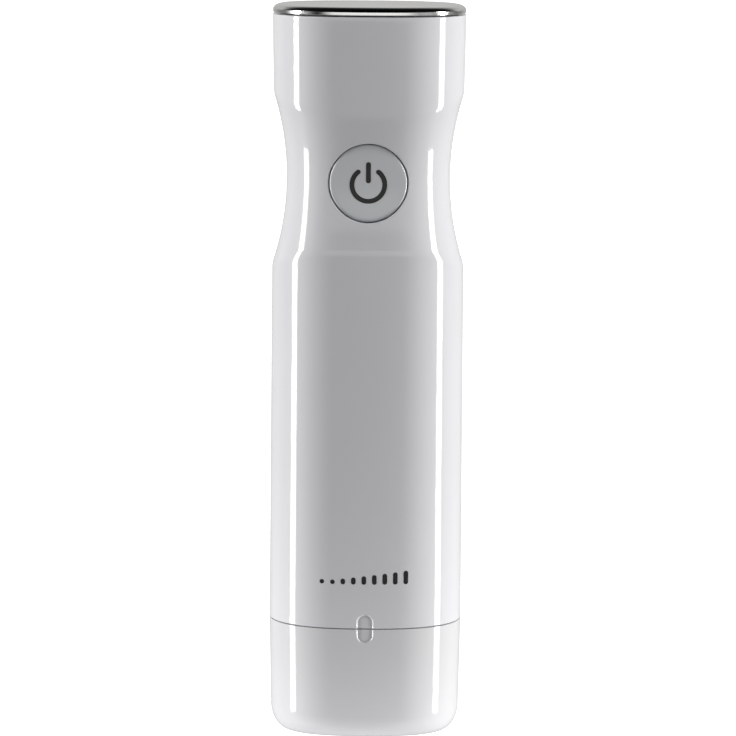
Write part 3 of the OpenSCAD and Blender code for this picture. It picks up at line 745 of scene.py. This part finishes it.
def vary_roughness(material, source, low, high):
    """Varies the material's roughness between two values by the source."""
    span = node(material, "ShaderNodeMapRange")
    span.inputs["From Min"].default_value, span.inputs["From Max"].default_value = 0.3, 0.7
    span.inputs["To Min"].default_value, span.inputs["To Max"].default_value = low, high
    material.node_tree.links.new(source, span.inputs["Value"])
    shader_input(material, "Roughness", span.outputs["Result"])


def add_bump(material, source, strength, distance):
    """Tilts the material's surface by the source."""
    bump = node(material, "ShaderNodeBump", Strength=strength, Distance=distance)
    material.node_tree.links.new(source, bump.inputs["Height"])
    shader_input(material, "Normal", bump.outputs["Normal"])


def shade(color, factor):
    """The color made lighter or darker."""
    return tuple(min(1, c * factor) for c in color)


def moulded(name, color, roughness, texture=900, depth=0.02, spread_color=0.03, **sockets):
    """Moulded plastic or rubber: an even colour with faint flow marks and a fine skin texture."""
    material = new_material(name, color, roughness, **sockets)
    broad = grain(material, 60, detail=3)
    vary_color(material, broad, shade(color, 1 - spread_color), shade(color, 1 + spread_color))
    vary_roughness(material, broad, roughness * 0.9, roughness * 1.1)
    add_bump(material, grain(material, texture, detail=2), depth, 0.05 * MM)
    return material


def metal(name, color, roughness, stretch=(1, 1, 1), scale=300, depth=0.05, **sockets):
    """Metal with a grain: its colour, roughness and bump follow the same scratches."""
    material = new_material(name, color, roughness, metallic=1.0, **sockets)
    lines = grain(material, scale, stretch, detail=6)
    vary_color(material, lines, shade(color, 0.93), shade(color, 1.05))
    vary_roughness(material, lines, roughness * 0.8, roughness * 1.25)
    add_bump(material, lines, depth, 0.02 * MM)
    return material


def make_materials():
    """A material for each slot of the record, and one for the ink and the suction head."""
    return {
        "shell_plastic": moulded("shell plastic", (0.74, 0.744, 0.79), 0.07, 1500, 0.004, 0.006),
        "head_plastic": moulded("suction head plastic", (0.705, 0.707, 0.74), 0.08, 1500, 0.01, 0.006),
        "button_plastic": moulded("button plastic", (0.68, 0.7, 0.737), 0.1, 1500, 0.004, 0.006),
        "ink": moulded("grey ink", (0.012, 0.012, 0.013), 0.35, 2500, 0.05, 0.15),
        "cap_steel": metal("cap steel", (0.72, 0.72, 0.715), 0.13, (1, 60, 60), 60, 0.012,
                           Anisotropic=0.3),
        "white_plastic": moulded("white plastic", (0.80, 0.80, 0.77), 0.38, 1200, 0.06),
        "grey_plastic": moulded("grey plastic", (0.15, 0.15, 0.155), 0.5, 1400, 0.12, 0.06),
        "black_plastic": moulded("black plastic", (0.015, 0.015, 0.016), 0.4, 1400, 0.1, 0.2),
        "silicone": moulded("silicone", (0.62, 0.62, 0.61), 0.48, 1800, 0.05, 0.02,
                            Subsurface_Weight=0.15, Subsurface_Scale=0.002),
        "black_rubber": moulded("black rubber", (0.02, 0.02, 0.021), 0.65, 1600, 0.15, 0.2),
        "screw_steel": metal("screw steel", (0.62, 0.62, 0.60), 0.28, (1, 1, 8), 250, 0.08),
        "ground_steel": metal("ground steel", (0.66, 0.66, 0.66), 0.12, (1, 1, 30), 300, 0.03),
        "can_steel": metal("can steel", (0.58, 0.58, 0.58), 0.24, (1, 1, 12), 120, 0.05),
        "ferrite": moulded("ferrite", (0.05, 0.05, 0.052), 0.6, 1200, 0.2, 0.2),
        "bronze": metal("bronze", (0.62, 0.42, 0.20), 0.32, scale=700, depth=0.12),
        "copper": metal("copper wire", (0.72, 0.32, 0.16), 0.3, (1, 1, 20), 500, 0.3),
        "lamination": metal("laminated steel", (0.34, 0.35, 0.37), 0.4, (0.2, 0.2, 20), 180, 0.3),
        "nickel_strip": metal("nickel strip", (0.66, 0.64, 0.58), 0.25, (1, 20, 1), 200, 0.05),
        "cell_wrap": moulded("cell wrap", (0.06, 0.17, 0.38), 0.3, 700, 0.04, 0.05),
        "red_wire": moulded("red wire", (0.42, 0.03, 0.025), 0.45, 1500, 0.08, 0.08),
        "board_green": moulded("board green", (0.012, 0.12, 0.045), 0.35, 1100, 0.1, 0.12),
        "clear_plastic": moulded("clear plastic", (0.85, 0.88, 0.88), 0.15, 900, 0.02, 0.02,
                                 Transmission_Weight=0.6),
        "foam": moulded("foam", (0.06, 0.06, 0.062), 0.85, 2200, 0.5, 0.25),
    }


# ---------- Studio ----------

CAMERA_X, CAMERA_Y, CAMERA_Z = 0.3 * MM, -1.13, 0.26
CAMERA_PITCH, CAMERA_ROLL = math.radians(7.947), math.radians(0.447)
LENS = 199.57
AIM_Z = 0.1
STRIP_DISTANCE = 20
STRIP_COLOR, TOP_COLOR, BOUNCE_COLOR = (1, 0.985, 0.94), (0.9, 0.95, 1), (1, 1, 1)


def add_camera():
    """The photo's view: a long lens, from the front and slightly above."""
    data = bpy.data.cameras.new("camera")
    data.lens, data.sensor_width = LENS, 36
    data.clip_start, data.clip_end = 0.01, 50
    obj = place_new("camera", data)
    aim = Matrix.Rotation(math.pi / 2 - CAMERA_PITCH, 4, "X") @ Matrix.Rotation(CAMERA_ROLL, 4, "Z")
    obj.matrix_world = Matrix.Translation((CAMERA_X, CAMERA_Y, CAMERA_Z)) @ aim
    bpy.context.scene.camera = obj


def add_area_light(name, shape, width, depth, radiance, color, mirrored=False):
    """A light with an even radiance. Polished faces show it only if it is to be mirrored."""
    data = bpy.data.lights.new(name, "AREA")
    data.shape, data.color = shape, color
    data.size, data.size_y = width, depth
    area = width * depth * (math.pi / 4 if shape == "DISK" else 1)
    data.energy = radiance * math.pi * area
    obj = place_new(name, data)
    obj.visible_glossy = mirrored
    return obj


def add_strip(name, azimuth, half_angle, low, high, radiance, mirrored=True):
    """An upright light that faces the object, in degrees. Azimuth 0 is the front, 90 the right."""
    t = math.radians(azimuth)
    width = 2 * STRIP_DISTANCE * math.tan(math.radians(half_angle))
    bottom, top = (STRIP_DISTANCE * math.tan(math.radians(e)) for e in (low, high))
    obj = add_area_light(name, "RECTANGLE", width, top - bottom, radiance, STRIP_COLOR, mirrored)
    x, y = STRIP_DISTANCE * math.sin(t), -STRIP_DISTANCE * math.cos(t)
    turn = Matrix.Rotation(t, 4, "Z") @ Matrix.Rotation(math.pi / 2, 4, "X")
    obj.matrix_world = Matrix.Translation((x, y, AIM_Z + (bottom + top) / 2)) @ turn


def add_top_light(height, half_angle, radiance):
    """A round soft light over the object."""
    size = 2 * height * math.tan(math.radians(half_angle))
    obj = add_area_light("top_light", "DISK", size, size, radiance, TOP_COLOR)
    obj.location.z = height


def add_bounce(width, depth, radiance):
    """Light that the table throws back up at the object's foot, most of it at the sides."""
    obj = add_area_light("bounce_light", "RECTANGLE", width, depth, radiance, BOUNCE_COLOR)
    obj.location.z = -5 * MM
    obj.rotation_euler.x = math.pi


def add_floor(material):
    """A plain white floor just under the object, for the camera only."""
    size = 6
    corners = [(-size, -size, 0), (size, -size, 0), (size, size, 0), (-size, size, 0)]
    mesh = bpy.data.meshes.new("floor")
    mesh.from_pydata(corners, [], [(0, 1, 2, 3)])
    mesh.materials.append(material)
    obj = place_new("floor", mesh)
    obj.location.z = -0.02 * MM
    obj.visible_glossy = obj.visible_diffuse = obj.visible_shadow = False


def floor_material():
    """A white that glows, so the floor has no edge against the background."""
    material = moulded("floor", (0.9, 0.9, 0.9), 0.7, 40, 0.02, 0.004)
    shader = material.node_tree.nodes["Principled BSDF"]
    shader.inputs["Emission Color"].default_value = (1, 1, 1, 1)
    shader.inputs["Emission Strength"].default_value = 1.0
    return material


def math_node(tree, operation, a, b):
    """The result of an operation on two numbers or sockets."""
    made = tree.nodes.new("ShaderNodeMath")
    made.operation = operation
    for socket, value in zip(made.inputs, (a, b)):
        if isinstance(value, (int, float)):
            socket.default_value = value
        else:
            tree.links.new(value, socket)
    return made.outputs[0]


def product(tree, first, *others):
    """All the factors, multiplied."""
    for other in others:
        first = math_node(tree, "MULTIPLY", first, other)
    return first


def ramp_between(tree, source, low, high, start, end):
    """A smooth change from start to end while the source goes from low to high."""
    span = tree.nodes.new("ShaderNodeMapRange")
    span.interpolation_type = "SMOOTHSTEP"
    for key, value in (("From Min", low), ("From Max", high), ("To Min", start), ("To Max", end)):
        span.inputs[key].default_value = value
    tree.links.new(source, span.inputs["Value"])
    return span.outputs["Result"]


# Brightness of the room round the object: (azimuth in degrees, radiance)
ROOM = [
    (-180, 0.7), (-160, 0.65), (-150, 0.6), (-125, 0.3), (-112, 0.25), (-103, 0.3), (-97, 0.7),
    (-89, 1.4), (-82, 1.6), (-76, 1.2), (-70, 0.5), (-62, 0.6), (-52, 0.2), (-45, 0.0),
    (0, 0.0), (26, 0.0), (36, 0.4), (48, 0.7), (57, 0.6), (63, 0.3), (70, 0.4), (78, 0.6),
    (87, 0.7), (93, 0.4), (99, 0.3), (112, 0.2), (125, 0.3), (150, 0.6), (160, 0.65), (180, 0.7),
]
ROOM_PEAK = 4.0  # radiance of the room at the ramp's full brightness


def room_by_azimuth(tree, x, y):
    """Brightness of the room in a direction, as a share of its peak."""
    turn = math_node(tree, "ARCTAN2", x, math_node(tree, "MULTIPLY", y, -1.0))
    ramp = tree.nodes.new("ShaderNodeValToRGB")
    share = math_node(tree, "ADD", math_node(tree, "MULTIPLY", turn, 0.5 / math.pi), 0.5)
    tree.links.new(share, ramp.inputs["Fac"])
    stops = ramp.color_ramp.elements
    while len(stops) < len(ROOM):
        stops.new(0.5)
    for stop, (azimuth, level) in zip(stops, ROOM):
        stop.position = azimuth / 360 + 0.5
        stop.color = (level / ROOM_PEAK,) * 3 + (1,)
    return ramp.outputs["Color"]


def card_in_front(tree, x, y, z, diffuse):
    """A card in front, brighter above the horizon than below. Only mirror images show it."""
    across = math_node(tree, "ABSOLUTE", x, 0.0)
    upper = product(
        tree,
        ramp_between(tree, z, -0.075, -0.055, 0.0, 1.5),
        ramp_between(tree, across, 0.38, 0.68, 1.0, 0.0),
        ramp_between(tree, z, 0.2, 0.28, 1.0, 0.0),
    )
    lower = product(
        tree,
        ramp_between(tree, z, -0.4, -0.2, 0.0, 0.4),
        ramp_between(tree, across, 0.28, 0.38, 1.0, 0.0),
        ramp_between(tree, z, -0.07, -0.05, 1.0, 0.0),
    )
    return product(
        tree,
        math_node(tree, "ADD", lower, upper),
        ramp_between(tree, y, -0.6, -0.5, 1.0, 0.0),
        math_node(tree, "SUBTRACT", 1.0, diffuse),
    )


def glow_behind(tree, y, z):
    """A soft brightness behind the object, above the horizon."""
    return product(
        tree,
        ramp_between(tree, y, 0.3, 0.6, 0.0, 0.7),
        ramp_between(tree, z, 0.0, 0.2, 0.0, 1.0),
        ramp_between(tree, z, 0.45, 0.75, 1.0, 0.06),
    )


def add_world():
    """A room bright at the sides and behind, with a card in front. To the camera it is white."""
    world = bpy.data.worlds.new("studio")
    bpy.context.scene.world = world
    world.use_nodes = True
    tree = world.node_tree
    tree.nodes.clear()
    place = tree.nodes.new("ShaderNodeTexCoord")
    split = tree.nodes.new("ShaderNodeSeparateXYZ")
    tree.links.new(place.outputs["Generated"], split.inputs[0])
    x, y, z = split.outputs
    rays = tree.nodes.new("ShaderNodeLightPath")
    room = product(
        tree,
        room_by_azimuth(tree, x, y),
        ramp_between(tree, z, 0.2, 0.45, ROOM_PEAK, 0.03),
        ramp_between(tree, z, -0.5, 0.0, 0.6, 1.0),
    )
    room = math_node(tree, "MAXIMUM", room, glow_behind(tree, y, z))
    card = card_in_front(tree, x, y, z, rays.outputs["Is Diffuse Ray"])
    light = tree.nodes.new("ShaderNodeBackground")
    light.inputs["Color"].default_value = (0.8, 0.796, 0.785, 1)
    tree.links.new(math_node(tree, "ADD", room, card), light.inputs["Strength"])
    seen = tree.nodes.new("ShaderNodeBackground")
    seen.inputs["Color"].default_value = (1, 1, 1, 1)
    mix = tree.nodes.new("ShaderNodeMixShader")
    out = tree.nodes.new("ShaderNodeOutputWorld")
    tree.links.new(rays.outputs["Is Camera Ray"], mix.inputs["Fac"])
    tree.links.new(light.outputs[0], mix.inputs[1])
    tree.links.new(seen.outputs[0], mix.inputs[2])
    tree.links.new(mix.outputs[0], out.inputs["Surface"])


def add_studio():
    """World, floor and lights, set so that the front view is lit like the photo."""
    bpy.context.scene.view_settings.view_transform = "Standard"
    add_world()
    add_floor(floor_material())
    add_strip("strip_left", -79.5, half_angle=5.2, low=-15.5, high=26, radiance=18.5)
    add_strip("strip_right", 79, half_angle=5.2, low=-15.5, high=26, radiance=20.5)
    add_strip("fill_left", -85, half_angle=8, low=-30, high=30, radiance=1.7, mirrored=False)
    add_strip("fill_right", 80, half_angle=8, low=-30, high=30, radiance=2.8, mirrored=False)
    add_top_light(height=2, half_angle=30, radiance=1.2)
    add_bounce(width=0.22, depth=0.12, radiance=0.75)


# ---------- Assembly ----------


def paint(obj, material):
    """Gives the object the material alone."""
    obj.data.materials.clear()
    obj.data.materials.append(material)


def main():
    """Builds the studio, paints the CAD's pieces, and adds the fine outer ones and the marks."""
    add_camera()
    add_studio()
    materials = make_materials()
    slots = {s["node"]: s["material_slot"] for s in frame["record"]["subparts"]}
    for name, obj in frame["nodes"].items():
        paint(obj, materials[slots[name]])
    paint(build_sleeve(), materials["shell_plastic"])
    paint(build_head(), materials["head_plastic"])
    paint(build_mouth_seal(), materials["silicone"])
    paint(build_cap(), materials["cap_steel"])
    paint(build_button(), materials["button_plastic"])
    for mark in build_button_mark() + build_level_marks():
        paint(mark, materials["ink"])


main()
